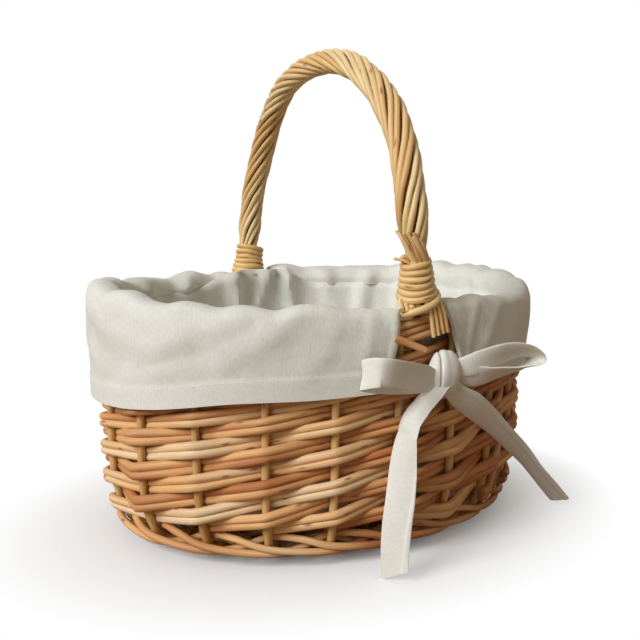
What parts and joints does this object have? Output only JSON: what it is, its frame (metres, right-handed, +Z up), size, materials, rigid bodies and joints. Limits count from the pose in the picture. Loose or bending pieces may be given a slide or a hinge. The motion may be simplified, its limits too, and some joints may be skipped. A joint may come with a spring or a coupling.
{
  "type": "oval wicker basket",
  "caption": "Oval woven rod basket with a roped arch handle, a cloth liner turned out over the rim and a ribbon bow.",
  "frame": {"origin": "middle of the base, on the surface that the basket stands on", "axes": "+Z up, X along the oval, the handle stands across it in the plane of Y and Z, with the bow on the -Y side"},
  "size_m": [0.306, 0.2575, 0.3046],
  "materials": {
    "stake_willow": "satin",
    "buff_willow": "satin",
    "dark_willow": "satin",
    "pale_willow": "satin",
    "rope_willow": "satin",
    "linen": "matte",
    "ribbon": "matte"
  },
  "bodies": {
    "root": {"stake_01": "stake_willow", "stake_02": "stake_willow", "stake_03": "stake_willow", "stake_04": "stake_willow", "stake_05": "stake_willow", "stake_06": "stake_willow", "stake_07": "stake_willow", "stake_08": "stake_willow", "stake_09": "stake_willow", "stake_10": "stake_willow", "stake_11": "stake_willow", "stake_12": "stake_willow", "stake_13": "stake_willow", "stake_14": "stake_willow", "stake_15": "stake_willow", "stake_16": "stake_willow", "stake_17": "stake_willow", "stake_18": "stake_willow", "stake_19": "stake_willow", "stake_20": "stake_willow", "wale": "dark_willow", "weaver_01": "buff_willow", "weaver_02": "dark_willow", "weaver_03": "pale_willow", "weaver_04": "buff_willow", "weaver_05": "dark_willow", "weaver_06": "pale_willow", "weaver_07": "buff_willow", "weaver_08": "dark_willow", "weaver_09": "pale_willow", "weaver_10": "buff_willow", "weaver_11": "dark_willow", "weaver_12": "pale_willow", "weaver_13": "buff_willow", "weaver_14": "dark_willow", "weaver_15": "pale_willow", "weaver_16": "buff_willow", "border_outer": "buff_willow", "border_inner": "dark_willow", "base_edge_band": "pale_willow", "base_band_1": "buff_willow", "base_band_2": "dark_willow", "base_slath": "stake_willow", "handle_core": "dark_willow", "handle_strands_1": "rope_willow", "handle_strands_2": "rope_willow", "handle_strands_3": "rope_willow", "handle_strands_4": "rope_willow", "handle_strands_5": "rope_willow", "handle_winding_near": "rope_willow", "handle_winding_far": "rope_willow", "foot_tips": "rope_willow", "liner_bag": "linen", "cuff_right": "linen", "cuff_left": "linen", "bow_knot": "ribbon", "bow_loop_left": "ribbon", "bow_loop_right": "ribbon", "bow_tail_left": "ribbon", "bow_tail_right": "ribbon"}
  },
  "joints": []
}
